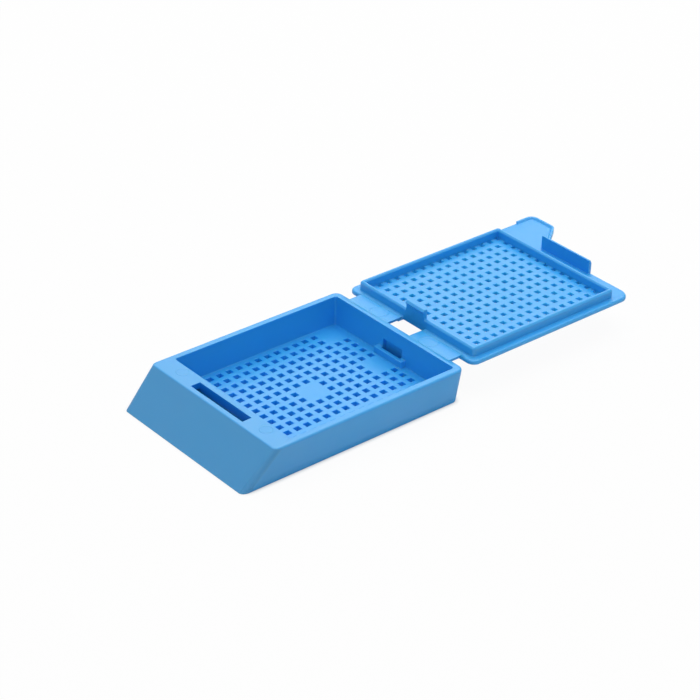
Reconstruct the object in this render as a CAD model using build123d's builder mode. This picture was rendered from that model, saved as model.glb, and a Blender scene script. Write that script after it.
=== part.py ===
"""Tissue cassette: a shallow perforated tray and its snap-shut lid, moulded
in one piece and lying open, joined by two thin living-hinge straps.

Millimetres, +Z up.  The origin is the middle of the tray's underside, +Y runs
from the sloped writing end to the hinge and the lid beyond it, and the X = 0
plane is the mould's plane of symmetry (only the thumb tab is to one side).
"""
import os
from math import atan, degrees, hypot

from build123d import *

# ---------------------------------------------------------------- tray, outside
tray_length = 39.9          # underside, sloped end to hinge end
tray_width = 28.5           # over the rim
tray_height = 5.6
side_draft = 0.55           # each side wall leans out by this
rear_draft = 0.35           # and the hinge-end wall by this
slope_run = 5.3             # the writing slope's length along Y
slope_radius = 0.8          # corners between the slope and the side walls
rear_radius = 1.2           # upright corners at the hinge end
rim_round = 0.35            # rounding of the rim's outer edge

# ---------------------------------------------------------------- tray, inside
rim_side = 1.15             # width of the rim along the sides
rim_rear = 1.2              # and along the hinge end
land_depth = 3.4            # flat land between the slope and the compartment
cavity_draft = 0.16
cavity_radius = 0.45
floor = 0.9
slope_wall = 1.0            # wall of the hollow slope
land_thickness = 1.0
front_wall = 1.0            # between the hollow slope and the compartment

# ---------------------------------------------------------------- perforation
hole = 0.95                 # square holes in the tray's floor
lid_hole = 0.85             # and in the lid's panel, at the top
lid_hole_draft = 0.05       # each wall of a lid hole leans in by this, downward
pitch = 1.79
columns = 14
rows = 16
rear_margin = 1.7           # last row's centre to the compartment's rear face
pad_cells = 2               # a solid pad takes this many holes each way

# ---------------------------------------------------------------- latches
slot_length = 11.7          # slot in the land for the lid's front blade
slot_width = 1.6
blade_end_clear = 0.65      # blade to slot, at each end
blade_thickness = 0.6
blade_height = 2.3
blade_bevel = 0.3
tongue_width = 4.0          # catch at the hinge end
tongue_thickness = 0.6
barb_reach = 0.26           # how far the barb stands out of the tongue
barb_lead = 0.32            # run of the bevel from the barb's nose to the tip
barb_drop = 0.35            # tip of the tongue to the barb's nose
barb_play = 0.15            # the barb's nose under the pocket's top, when shut
pocket_side_clear = 0.1     # pocket for the tongue in the rear wall
pocket_depth = 0.65
pocket_top = 3.35
dam_wall = 0.65             # raised keeper round the pocket's mouth in the floor
dam_side = 0.95
dam_height = 1.1
dam_reach = 0.9             # how far the keeper stands into the compartment

# ---------------------------------------------------------------- hinge
hinge_reach = 0.75          # the line on which the straps bend, beyond the rim
strap_thickness = 0.4
strap_seat = 0.4            # length let into the rim and into the flange
hinge_width = 22.3          # over both straps
hinge_gap = 4.8             # opening between the straps
lid_gap = 0.2               # flange to rim when the lid is shut

# ---------------------------------------------------------------- lid
flange_thickness = 0.65
flange_inset = 0.4          # flange is this much inside the rim, each side
flange_setback = 0.4        # and this much at the hinge end, when shut
land_show = 1.28            # land left bare in front of the closed flange
flange_radius_near = 1.3
flange_radius_far = 2.0
flange_bevel = 0.2
frame_height = 1.43         # raised frame that drops into the compartment
frame_wall = 0.75
frame_radius = 0.6
frame_bevel = 0.25
frame_clear_side = 0.38
frame_clear_rear = 0.26
frame_clear_front = 0.74

# ---------------------------------------------------------------- thumb tab
tab_reach = 6.0             # beyond the flange
tab_tip = 5.1               # width at its tip
tab_root = 9.5              # width where it leaves the flange
tab_radius = 1.3
lip_height = 0.35           # grip lip round the tab's tip
lip_width = 0.6             # at its foot
lip_slope = 0.3             # run of its inner side
lip_length = 3.7            # along the tab's long side

# ---------------------------------------------------------------- positions
front = -tray_length / 2
slope_top = front + slope_run
rear_foot = front + tray_length
rear_top = rear_foot + rear_draft
cavity_front = slope_top + land_depth
cavity_rear = rear_top - rim_rear
cavity_width = tray_width - 2 * rim_side
cavity_angle = degrees(atan(cavity_draft / (tray_height - floor)))
floor_rear = cavity_rear - cavity_draft
grid_y = floor_rear - rear_margin - (rows - 1) * pitch / 2
slot_rear = cavity_front - front_wall
hinge_y = rear_top + hinge_reach
hinge_z = tray_height + lid_gap / 2
rim = tray_height


def closed_to_open(y):
    """Where a point of the shut lid lies once the lid is turned out flat."""
    return 2 * hinge_y - y


def between(low, high):
    return (low + high) / 2


def grid_points(centre_y, pads=()):
    """Centres of the square holes, leaving out the cells of solid pads.

    A pad is given by the first column and row that it takes.
    """
    solid = {
        (column + i, row + j)
        for column, row in pads
        for i in range(pad_cells)
        for j in range(pad_cells)
    }
    return [
        (
            (column - (columns - 1) / 2) * pitch,
            centre_y + (row - (rows - 1) / 2) * pitch,
        )
        for column in range(columns)
        for row in range(rows)
        if (column, row) not in solid
    ]


last_column, last_row = columns - pad_cells, rows - pad_cells
middle_column, middle_row = (columns - pad_cells) // 2, (rows - pad_cells) // 2
tray_pads = [
    (0, 0), (last_column, 0), (0, last_row), (last_column, last_row),
    (middle_column, middle_row),        # gate
    (middle_column, last_row),          # in front of the keeper
]

# ------------------------------------------------------------------------ tray
foot_width = tray_width - 2 * side_draft
slope_shift = slope_wall * hypot(slope_run, tray_height) / tray_height
pocket_width = tongue_width + 2 * pocket_side_clear
dam_front = floor_rear - dam_reach
pocket_front = dam_front + dam_wall
pocket_rear = cavity_rear - cavity_draft / 2 + pocket_depth

with BuildPart() as tray:
    # the front end leans back as the writing slope, the hinge end leans out
    with BuildSketch(Plane.YZ):
        with BuildLine():
            Polyline((front, 0), (slope_top, rim), (rear_top, rim), (rear_foot, 0),
                     close=True)
        make_face()
    extrude(amount=tray_width / 2, both=True)

    # and so do the side walls
    with BuildSketch(Plane.XZ):
        with BuildLine():
            Polyline((-foot_width / 2, 0), (-tray_width / 2, rim),
                     (tray_width / 2, rim), (foot_width / 2, 0), close=True)
        make_face()
    extrude(amount=tray_length, both=True, mode=Mode.INTERSECT)

    # corners from foot to rim, then the rim's outer edge
    fillet(edges().group_by(Axis.Z)[1].sort_by(Axis.Y)[:2], slope_radius)
    fillet(edges().group_by(Axis.Z)[1].sort_by(Axis.Y)[-2:], rear_radius)
    fillet(faces().sort_by(Axis.Z)[-1].edges(), rim_round)

    # specimen compartment
    with BuildSketch(Plane.XY.offset(rim)):
        with Locations((0, between(cavity_front, cavity_rear))):
            Rectangle(cavity_width, cavity_rear - cavity_front)
        fillet(vertices(), cavity_radius)
    extrude(amount=floor - rim, taper=cavity_angle, mode=Mode.SUBTRACT)

    # the slope is hollow from below
    with BuildSketch(Plane.YZ):
        with BuildLine():
            Polyline(
                (front + slope_shift, 0),
                (front + slope_shift + slope_run * (rim - land_thickness) / rim,
                 rim - land_thickness),
                (slot_rear, rim - land_thickness),
                (slot_rear, 0),
                close=True,
            )
        make_face()
    extrude(amount=foot_width / 2 - rim_side, both=True, mode=Mode.SUBTRACT)

    # slot through the land for the lid's front blade
    with BuildSketch(Plane.XY.offset(rim)):
        with Locations((0, slot_rear - slot_width / 2)):
            Rectangle(slot_length, slot_width)
    extrude(amount=-land_thickness, mode=Mode.SUBTRACT)

    # keeper at the rear wall, and the pocket that the tongue's barb enters,
    # cored from below through the floor
    with BuildSketch(Plane.XY.offset(floor)):
        with Locations((0, between(dam_front, cavity_rear))):
            Rectangle(pocket_width + 2 * dam_side, cavity_rear - dam_front)
    extrude(amount=dam_height)
    with BuildSketch(Plane.XY):
        with Locations((0, between(pocket_front, pocket_rear))):
            Rectangle(pocket_width, pocket_rear - pocket_front)
    extrude(amount=pocket_top, mode=Mode.SUBTRACT)

    # seats of the hinge straps in the rim
    with BuildSketch(Plane.XY.offset(rim)):
        with Locations((0, rear_top)):
            Rectangle(hinge_width, 2 * strap_seat)
            Rectangle(hinge_gap, 2 * strap_seat, mode=Mode.SUBTRACT)
    extrude(amount=-strap_thickness, mode=Mode.SUBTRACT)

    # perforated floor
    with BuildSketch(Plane.XY):
        with Locations(grid_points(grid_y, tray_pads)):
            Rectangle(hole, hole)
    extrude(amount=floor, mode=Mode.SUBTRACT)

# ------------------------------------------------------------------------- lid
flange_width = tray_width - 2 * flange_inset
flange_near = closed_to_open(rear_top - flange_setback)
strap_length = flange_near - rear_top + 2 * strap_seat
flange_far = closed_to_open(slope_top + land_show)
frame_width = cavity_width - 2 * frame_clear_side
frame_near = closed_to_open(cavity_rear - frame_clear_rear)
frame_far = closed_to_open(cavity_front + frame_clear_front)
blade_length = slot_length - 2 * blade_end_clear
tab_left = -flange_width / 2
tab_far = flange_far + tab_reach
tab_corners = [
    (tab_left, flange_far),
    (tab_left, tab_far),
    (tab_left + tab_tip, tab_far),
    (tab_left + tab_root, flange_far),
]
lip_angle = degrees(atan(lip_slope / lip_height))
plug_section = [
    (-lid_hole / 2, 0),
    (lid_hole / 2, 0),
    (lid_hole / 2 - lid_hole_draft, -flange_thickness),
    (lid_hole_draft - lid_hole / 2, -flange_thickness),
]

# plugs of the lid's holes: bars along Y, cut by bars across them
with BuildPart() as lid_plugs:
    with BuildSketch(Plane.XZ):
        with Locations((0, rim)), GridLocations(pitch, 0, columns, 1):
            Polygon(*plug_section, align=None)
    extrude(amount=flange_far, both=True)
    with BuildSketch(Plane.YZ):
        with Locations((closed_to_open(grid_y), rim)), GridLocations(pitch, 0, rows, 1):
            Polygon(*plug_section, align=None)
    extrude(amount=tray_width, both=True, mode=Mode.INTERSECT)

with BuildPart() as lid:
    # flange with the thumb tab
    with BuildSketch(Plane.XY.offset(rim - flange_thickness)):
        with Locations((0, between(flange_near, flange_far))):
            Rectangle(flange_width, flange_far - flange_near)
        fillet(vertices().group_by(Axis.Y)[0], flange_radius_near)
        fillet(vertices().group_by(Axis.Y)[-1].sort_by(Axis.X)[-1],
               flange_radius_far)
        with BuildLine():
            Polyline(
                (tab_left, flange_far - flange_radius_far),
                (tab_left, tab_far),
                (tab_left + tab_tip, tab_far),
                (tab_left + tab_root, flange_far),
                (tab_left + tab_root, flange_far - flange_radius_far),
                close=True,
            )
        make_face()
        fillet(vertices().group_by(Axis.Y)[-1], tab_radius)
    extrude(amount=flange_thickness)
    chamfer(faces().sort_by(Axis.Z)[-1].edges(), flange_bevel)

    # grip lip round the tip of the thumb tab, sloping down to it on the inner side
    with BuildSketch(Plane.XY.offset(rim - flange_thickness)):
        with BuildLine():
            Polyline(*tab_corners, close=True)
        make_face()
        fillet(vertices().group_by(Axis.Y)[-1], tab_radius)
        with Locations((tab_left, tab_far - lip_length)):
            Rectangle(2 * tab_root, 2 * tab_reach, align=(Align.CENTER, Align.MAX),
                      mode=Mode.SUBTRACT)
    extrude(amount=flange_thickness + lip_height)
    with BuildSketch(Plane.XY.offset(rim)):
        with BuildLine():
            Polyline(*tab_corners, close=True)
        make_face()
        fillet(vertices().group_by(Axis.Y)[-1], tab_radius)
        offset(amount=-lip_width, mode=Mode.REPLACE)
    extrude(amount=lip_height, taper=-lip_angle, mode=Mode.SUBTRACT)

    # raised frame
    with BuildSketch(Plane.XY.offset(rim - flange_thickness)):
        with Locations((0, between(frame_near, frame_far))):
            Rectangle(frame_width, frame_far - frame_near)
        fillet(vertices(), frame_radius)
    extrude(amount=flange_thickness + frame_height)
    with BuildSketch(Plane.XY.offset(rim + frame_height)):
        with Locations((0, between(frame_near, frame_far))):
            Rectangle(frame_width - 2 * frame_wall,
                      frame_far - frame_near - 2 * frame_wall)
    extrude(amount=-frame_height, mode=Mode.SUBTRACT)
    chamfer(faces().sort_by(Axis.Z)[-1].edges(), frame_bevel)

    # opening between the hinge straps
    with BuildSketch(Plane.XY.offset(rim - flange_thickness)):
        with Locations((0, between(flange_near, frame_near))):
            Rectangle(hinge_gap, frame_near - flange_near)
    extrude(amount=flange_thickness, mode=Mode.SUBTRACT)

    # catch tongue with its barb, flush with the frame's near face
    with BuildSketch(Plane.YZ):
        with BuildLine():
            nose = 2 * hinge_z - (pocket_top - barb_play)
            tip = nose + barb_drop
            Polyline(
                (frame_near, rim - flange_thickness),
                (frame_near, nose - 1.5 * barb_reach),
                (frame_near - barb_reach, nose),
                (frame_near - barb_reach + barb_lead, tip),
                (frame_near + tongue_thickness, tip),
                (frame_near + tongue_thickness, rim - flange_thickness),
                close=True,
            )
        make_face()
    extrude(amount=tongue_width / 2, both=True)

    # front latch blade along the flange's far edge
    with BuildSketch(Plane.YZ):
        with BuildLine():
            Polyline(
                (flange_far - blade_thickness, rim - flange_thickness),
                (flange_far - blade_thickness, rim + blade_height),
                (flange_far - blade_bevel, rim + blade_height),
                (flange_far, rim + blade_height - 2 * blade_bevel),
                (flange_far, rim - flange_thickness),
                close=True,
            )
        make_face()
    extrude(amount=blade_length / 2, both=True)

    # seats of the hinge straps in the flange
    with BuildSketch(Plane.XY.offset(rim)):
        with Locations((0, flange_near)):
            Rectangle(hinge_width, 2 * strap_seat)
            Rectangle(hinge_gap, 2 * strap_seat, mode=Mode.SUBTRACT)
    extrude(amount=-strap_thickness, mode=Mode.SUBTRACT)

    # perforated panel: its holes lie over the tray's when the lid is shut
    add(lid_plugs.part, mode=Mode.SUBTRACT)

# --------------------------------------------------------- living-hinge straps
with BuildPart() as hinge_straps:
    with BuildSketch(Plane.XY.offset(rim)):
        with Locations((0, between(rear_top, flange_near))):
            Rectangle(hinge_width, strap_length)
            Rectangle(hinge_gap, strap_length, mode=Mode.SUBTRACT)
    extrude(amount=-strap_thickness)

os.makedirs("parts", exist_ok=True)
tray.part.label = "tray"
lid.part.label = "lid"
hinge_straps.part.label = "hinge_straps"
export_step(tray.part, "parts/tray.step")
export_step(lid.part, "parts/lid.step")
export_step(hinge_straps.part, "parts/hinge_straps.step")
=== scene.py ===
import math

import bmesh
import bpy
from mathutils import Matrix, Vector


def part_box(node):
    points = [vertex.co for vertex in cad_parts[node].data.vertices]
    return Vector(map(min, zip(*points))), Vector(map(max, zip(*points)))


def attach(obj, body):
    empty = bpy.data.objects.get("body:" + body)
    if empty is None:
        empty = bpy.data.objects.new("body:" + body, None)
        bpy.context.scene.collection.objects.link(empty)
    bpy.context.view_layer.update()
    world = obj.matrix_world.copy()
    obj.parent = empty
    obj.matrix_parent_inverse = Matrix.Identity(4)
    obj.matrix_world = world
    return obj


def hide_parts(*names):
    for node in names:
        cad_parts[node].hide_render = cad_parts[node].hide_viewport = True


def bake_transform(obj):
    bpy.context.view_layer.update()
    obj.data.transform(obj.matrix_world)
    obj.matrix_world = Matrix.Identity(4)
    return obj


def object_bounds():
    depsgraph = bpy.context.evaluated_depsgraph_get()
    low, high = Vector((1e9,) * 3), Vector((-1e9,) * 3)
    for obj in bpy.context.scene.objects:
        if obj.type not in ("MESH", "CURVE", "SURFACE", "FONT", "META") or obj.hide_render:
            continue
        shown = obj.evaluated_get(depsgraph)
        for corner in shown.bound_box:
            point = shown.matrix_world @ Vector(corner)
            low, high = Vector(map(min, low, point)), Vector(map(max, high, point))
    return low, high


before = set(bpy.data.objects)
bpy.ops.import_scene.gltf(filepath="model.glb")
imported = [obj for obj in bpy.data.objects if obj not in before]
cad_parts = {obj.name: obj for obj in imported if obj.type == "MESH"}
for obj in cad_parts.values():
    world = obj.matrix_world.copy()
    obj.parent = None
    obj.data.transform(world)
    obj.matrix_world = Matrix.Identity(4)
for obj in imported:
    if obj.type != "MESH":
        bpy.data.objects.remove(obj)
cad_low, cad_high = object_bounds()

# Tray: the moulded body with the compartment, the writing slope and the perforated floor.
# It is blue acetal with a satin surface, and every edge that the mould leaves is a little soft.
mm = 0.001
weld_gap = 0.001 * mm
flat_angle = math.radians(0.6)      # faces nearer in direction than this are one flat face
corner_angle = math.radians(28)     # edges that turn more than this are rounded
crease_angle = math.radians(50)     # and those that still turn more than this look sharp
edge_round = 0.08 * mm
edge_steps = 2
seat_slack = 0.02 * mm
strap_low, strap_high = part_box("hinge_straps")


def in_strap_seat(edge):
    """True for an edge of the seats that the straps lie in, where the moulding has no edge."""
    slack = Vector((seat_slack, seat_slack, seat_slack))
    low, high = strap_low - slack, strap_high + slack
    return all(low[i] < vertex.co[i] < high[i] for vertex in edge.verts for i in range(3))


def moulded(node, rounded=True):
    """A mesh with a CAD node's form, its flat faces whole again and its edges soft if wanted."""
    form = bmesh.new()
    form.from_mesh(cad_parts[node].data)
    bmesh.ops.remove_doubles(form, verts=form.verts, dist=weld_gap)
    bmesh.ops.dissolve_limit(form, angle_limit=flat_angle, verts=form.verts, edges=form.edges)
    bmesh.ops.connect_verts_concave(form, faces=form.faces)
    if rounded:
        corners = [edge for edge in form.edges
                   if edge.calc_face_angle(0) > corner_angle and not in_strap_seat(edge)]
        bmesh.ops.bevel(form, geom=corners, offset=edge_round, offset_type="OFFSET",
                        segments=edge_steps, profile=0.5, affect="EDGES", clamp_overlap=False,
                        material=-1)
    return form


def finish_piece(form, name, material):
    """The piece made from a mesh under work, with its material and smooth shading."""
    mesh = bpy.data.meshes.new(name)
    form.to_mesh(mesh)
    form.free()
    for face in mesh.polygons:
        face.use_smooth = True
    mesh.set_sharp_from_angle(angle=crease_angle)
    mesh.materials.append(material)
    piece = bpy.data.objects.new(name, mesh)
    flats = piece.modifiers.new("flats_stay_flat", "WEIGHTED_NORMAL")
    flats.keep_sharp = True
    bpy.context.collection.objects.link(piece)
    return piece


def linear(hex_colour):
    """The linear values, with full alpha, of a colour written as sRGB hex."""
    channels = [int(hex_colour[i:i + 2], 16) / 255 for i in (1, 3, 5)]
    return [c / 12.92 if c <= 0.04045 else ((c + 0.055) / 1.055) ** 2.4 for c in channels] + [1.0]


def add(tree, kind, inputs=(), **settings):
    """A new node, its inputs set to values or linked to other nodes' outputs."""
    node = tree.nodes.new(kind)
    for key, value in settings.items():
        setattr(node, key, value)
    for socket, value in dict(inputs).items():
        if isinstance(value, bpy.types.NodeSocket):
            tree.links.new(value, node.inputs[socket])
        else:
            node.inputs[socket].default_value = value
    return node


def maths(tree, operation, *values):
    """The result of an operation on numbers."""
    return add(tree, "ShaderNodeMath", enumerate(values), operation=operation).outputs[0]


def vector_maths(tree, operation, *values, result="Vector"):
    """The result of an operation on vectors: the output Vector, or Value where it is a number."""
    node = add(tree, "ShaderNodeVectorMath", enumerate(values), operation=operation)
    return node.outputs[result]


def ramp(tree, value, start, end, first, last, curve="LINEAR"):
    """A number that runs from first, where value is start or before, to last at end and beyond."""
    return add(tree, "ShaderNodeMapRange", {"Value": value, "From Min": start, "From Max": end,
                                            "To Min": first, "To Max": last},
               interpolation_type=curve).outputs[0]


def ejector_rings(tree, place, x, y, radius, height):
    """The faint rings that ejector pins leave at x and -x on the faces level with the rim."""
    axes = add(tree, "ShaderNodeSeparateXYZ", {0: place})
    side = maths(tree, "ABSOLUTE", axes.outputs["X"])
    spot = add(tree, "ShaderNodeCombineXYZ", {"X": side, "Y": axes.outputs["Y"]})
    away = vector_maths(tree, "DISTANCE", spot.outputs[0], (x, y, 0), result="Value")
    off_line = maths(tree, "ABSOLUTE", maths(tree, "SUBTRACT", away, radius))
    ring = ramp(tree, off_line, 0.0, ring_line, height, 0.0, curve="SMOOTHSTEP")
    on_top = maths(tree, "COMPARE", axes.outputs["Z"], rim_height, level_slack)
    return maths(tree, "MULTIPLY", ring, on_top)


def in_box(tree, place, middle, half):
    """1 inside the box with this middle and these half sizes, 0 outside it."""
    away = vector_maths(tree, "SUBTRACT", place, middle)
    away = vector_maths(tree, "ABSOLUTE", vector_maths(tree, "DIVIDE", away, half))
    axes = add(tree, "ShaderNodeSeparateXYZ", {0: away})
    most = maths(tree, "MAXIMUM", axes.outputs["X"], axes.outputs["Y"])
    most = maths(tree, "MAXIMUM", most, axes.outputs["Z"])
    return maths(tree, "LESS_THAN", most, 1.0)


def mixed(tree, share, first, second):
    """The first colour, with this share of the second."""
    return add(tree, "ShaderNodeMix", {"Factor": share, "A": first, "B": second},
               data_type="RGBA").outputs["Result"]


# places and sizes on the moulding, in millimetres
slope_foot = -19.95
slope_run = 5.3
rim_height = 5.6
under_rim = 5.5                     # the slope's duller blue and painted shade stay under this height
edge_fade = 0.5, 1.2                # and fade out between these depths behind the slope, so they also paint shade over the fillet at its side
front_fade = 1.0, 12.0              # the painted shade on the front fades out between these
# how much duller blue: on the slope partly the writing face's own finish and partly painted shade,
# on the front painted shade only
slope_dull_and_shade, front_painted_shade = 0.7, 0.3
grain_height = 0.25                 # the grain's relief beside that of the rings
strap_rings = 5.5, 21.1, 1.45, 8.0  # x, y, radius and relief
land_rings = 9.5, -12.5, 0.95, 6.0
ring_line = 0.16                    # half the width of a ring's line
level_slack = 0.05
tray_holes = (0, 3.82, 0.45), (12.4, 14.1, 0.43)    # middle and half sizes of the box
lid_holes = (0, 38.28, 5.275), (12.4, 14.1, 0.3)
slot_walls = (0, -13.1, 4.9), (5.95, 0.9, 0.65)
clouds_per_mm, grains_per_mm = 0.22, 9.0
cloud_middle = 0.3, 0.7
least_rough, most_rough = 0.36, 0.46

# acetal: translucent blue under a fine satin mould texture, with the rings of the ejector pins
acetal = bpy.data.materials.new("moulded_acetal_blue")
acetal.use_nodes = True
tree = acetal.node_tree
surface = tree.nodes["Principled BSDF"]
coordinates = add(tree, "ShaderNodeTexCoord")
in_mm = add(tree, "ShaderNodeVectorMath", {0: coordinates.outputs["Object"], "Scale": 1 / mm},
            operation="SCALE").outputs[0]
cloud = add(tree, "ShaderNodeTexNoise", {"Vector": in_mm, "Scale": clouds_per_mm, "Detail": 3.0})
rough = ramp(tree, cloud.outputs["Fac"], *cloud_middle, least_rough, most_rough)
grain = add(tree, "ShaderNodeTexNoise", {"Vector": in_mm, "Scale": grains_per_mm, "Detail": 2.0})
relief = maths(tree, "MULTIPLY", grain.outputs["Fac"], grain_height)
relief = maths(tree, "ADD", relief, ejector_rings(tree, in_mm, *strap_rings))
relief = maths(tree, "ADD", relief, ejector_rings(tree, in_mm, *land_rings))
bump = add(tree, "ShaderNodeBump", {"Height": relief, "Strength": 0.5, "Distance": 0.012 * mm})
tree.links.new(rough, surface.inputs["Roughness"])
tree.links.new(bump.outputs[0], surface.inputs["Normal"])

# the writing slope has a duller blue, partly a duller writing face and partly painted shade, which
# dies away round its edges but not over the rim; the front of the tray has a trace of it, which is
# painted shade only
slope_facing = Vector((0, -rim_height, slope_run)).normalized()
slope_reach = slope_facing.dot((0, slope_foot, 0))
behind_slope = vector_maths(tree, "DOT_PRODUCT", in_mm, slope_facing, result="Value")
behind_slope = maths(tree, "SUBTRACT", slope_reach, behind_slope)
on_slope = ramp(tree, behind_slope, *edge_fade, slope_dull_and_shade, 0.0, curve="SMOOTHSTEP")
height = add(tree, "ShaderNodeSeparateXYZ", {0: in_mm}).outputs["Z"]
on_slope = maths(tree, "MULTIPLY", on_slope, maths(tree, "LESS_THAN", height, under_rim))
# painted shade on the front of the tray, darker towards the front
front_shade = ramp(tree, behind_slope, *front_fade, front_painted_shade, 0.0)
dull_and_shade = maths(tree, "ADD", on_slope, front_shade)
# the blue, darkened by the painted shade and the duller writing face
colour = mixed(tree, dull_and_shade, linear("#2BA7EC"), linear("#3A98D2"))

# painted light: the walls of the holes and of the slot get a clearer, brighter blue in their
# colour, which stands in for the light that comes through the thin webs
for (middle, half), painted_light_hue in ((tray_holes, "#14A5F6"), (lid_holes, "#34C2FF"),
                            (slot_walls, "#0C98FB")):
    colour = mixed(tree, in_box(tree, in_mm, middle, half), colour, linear(painted_light_hue))
tree.links.new(colour, surface.inputs["Base Color"])
surface.inputs["IOR"].default_value = 1.48
surface.inputs["Specular IOR Level"].default_value = 0.75
surface.inputs["Subsurface Weight"].default_value = 0.35
surface.inputs["Subsurface Radius"].default_value = (0.2, 0.7, 1.0)
surface.inputs["Subsurface Scale"].default_value = 0.5 * mm

tray = finish_piece(moulded("tray"), "tray_moulding", acetal)
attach(tray, "tray")
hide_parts("tray")

# Lid: the perforated cover, moulded open beside the tray with its frame, latch blade,
# catch tongue and thumb tab. It has the tray's material and the same soft edges.
lid = finish_piece(moulded("lid"), "lid_moulding", acetal)
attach(lid, "lid")
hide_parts("lid")

# Hinge straps: two thin webs of the same moulding that bend when the lid is shut.
# Their ends lie in seats in the rim and in the flange, so that the tops run on without a step.
folds = 16
straps = moulded("hinge_straps", rounded=False)
for i in range(1, folds):
    line = strap_low.y + (strap_high.y - strap_low.y) * i / folds
    bmesh.ops.bisect_plane(straps, geom=straps.verts[:] + straps.edges[:] + straps.faces[:],
                           plane_co=(0, line, 0), plane_no=(0, 1, 0))
straps = finish_piece(straps, "straps_moulding", acetal)
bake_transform(straps)
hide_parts("hinge_straps")

# Studio floor: a sheet of white card that runs out of view, nearly white to the lens with a
# trace of shadow where the object touches it. It throws soft light back onto the sides, and
# reflections see it white too, except under the object.
card_reach = 1.5
card_grey = 0.8
card_shows = 0.95                   # share of its own white that the lens sees
touch_reach = 0.7 * mm
middle = (cad_low + cad_high) / 2
half = (cad_high - cad_low) / 2
card = bmesh.new()
bmesh.ops.create_grid(card, x_segments=1, y_segments=1, size=card_reach)
mesh = bpy.data.meshes.new("studio_floor")
card.to_mesh(mesh)
card.free()
floor = bpy.data.objects.new("studio_floor", mesh)
bpy.context.collection.objects.link(floor)
paper = bpy.data.materials.new("white_card")
paper.use_nodes = True
tree = paper.node_tree
tree.nodes.clear()
path = add(tree, "ShaderNodeLightPath")
matte = add(tree, "ShaderNodeBsdfDiffuse", {"Color": (card_grey, card_grey, card_grey, 1)})
bright = add(tree, "ShaderNodeEmission", {"Color": (1, 1, 1, 1), "Strength": 1.0})
place = add(tree, "ShaderNodeTexCoord").outputs["Object"]
from_middle = vector_maths(tree, "ABSOLUTE", vector_maths(tree, "SUBTRACT", place, middle))
sides = add(tree, "ShaderNodeSeparateXYZ", {0: from_middle})
beside = maths(tree, "GREATER_THAN", sides.outputs["X"], half.x)
beyond = maths(tree, "GREATER_THAN", sides.outputs["Y"], half.y)
clear = maths(tree, "MAXIMUM", beside, beyond)
mirrored = maths(tree, "MULTIPLY", path.outputs["Is Glossy Ray"], clear)
share = maths(tree, "MAXIMUM", path.outputs["Is Camera Ray"], mirrored)
open_above = add(tree, "ShaderNodeAmbientOcclusion", {"Distance": touch_reach}, samples=8)
share = maths(tree, "MULTIPLY", share, open_above.outputs["AO"])
share = maths(tree, "MULTIPLY", share, card_shows)
both = add(tree, "ShaderNodeMixShader", {0: share, 1: matte.outputs[0], 2: bright.outputs[0]})
add(tree, "ShaderNodeOutputMaterial", {"Surface": both.outputs[0]})
mesh.materials.append(paper)

# Studio room: even pale walls that light the object softly from all round.
# The lens sees them plain white, and so does a ray that is reflected or passes through.
wall_light = 0.35
world = bpy.data.worlds.new("studio")
bpy.context.scene.world = world
world.use_nodes = True
tree = world.node_tree
tree.nodes.clear()
path = add(tree, "ShaderNodeLightPath")
seen = maths(tree, "MAXIMUM", path.outputs["Is Camera Ray"], path.outputs["Is Glossy Ray"])
seen = maths(tree, "MAXIMUM", seen, path.outputs["Is Transmission Ray"])
walls = add(tree, "ShaderNodeBackground", {"Color": (1, 1, 1, 1), "Strength": wall_light})
white = add(tree, "ShaderNodeBackground", {"Color": (1, 1, 1, 1), "Strength": 1.0})
both = add(tree, "ShaderNodeMixShader", {0: seen, 1: walls.outputs[0], 2: white.outputs[0]})
add(tree, "ShaderNodeOutputWorld", {"Surface": both.outputs[0]})

# Softboxes: a wide one overhead, one behind that lays a pale sheen on the upper faces, and a
# weak one in front that opens the shadows of the walls.
softbox_distance = 0.6


def softbox(name, towards, size, power):
    """A rectangular lamp in that direction from the object's middle, facing it."""
    lamp = bpy.data.lights.new(name, "AREA")
    lamp.shape = "RECTANGLE"
    lamp.size, lamp.size_y = size
    lamp.energy = power
    box = bpy.data.objects.new(name, lamp)
    box.location = middle + Vector(towards).normalized() * softbox_distance
    box.rotation_euler = (middle - box.location).to_track_quat("-Z", "Y").to_euler()
    bpy.context.collection.objects.link(box)


softbox("softbox_overhead", (-0.15, 0.2, 1.0), (0.6, 0.6), 2.8)
softbox("softbox_behind", (-0.59, 0.53, 0.61), (0.4, 0.25), 0.5)
softbox("softbox_front", (0.45, -0.75, 0.45), (0.4, 0.4), 0.25)

# Camera: a long lens above the right side of the writing end, turned a little about its axis.
# It looks into the hinge end of the compartment from a third of a metre away.
azimuth, elevation, roll = (math.radians(angle) for angle in (48.24, 30.83, 2.323))
aim = Vector((-2.761, 13.113, 3.173)) * mm
distance = 327.6 * mm
lens = bpy.data.cameras.new("camera")
lens.sensor_width = 36
lens.lens = 114.35
lens.clip_start, lens.clip_end = 0.01, 10
camera = bpy.data.objects.new("camera", lens)
bpy.context.collection.objects.link(camera)
back = Vector((math.sin(azimuth) * math.cos(elevation),
               -math.cos(azimuth) * math.cos(elevation), math.sin(elevation)))
right = Vector((math.cos(azimuth), math.sin(azimuth), 0))
turn = Matrix((right, back.cross(right), back)).transposed()
camera.location = aim + back * distance
camera.rotation_euler = (turn @ Matrix.Rotation(roll, 3, "Z")).to_euler()
scene = bpy.context.scene
scene.camera = camera
scene.view_settings.view_transform = "Standard"
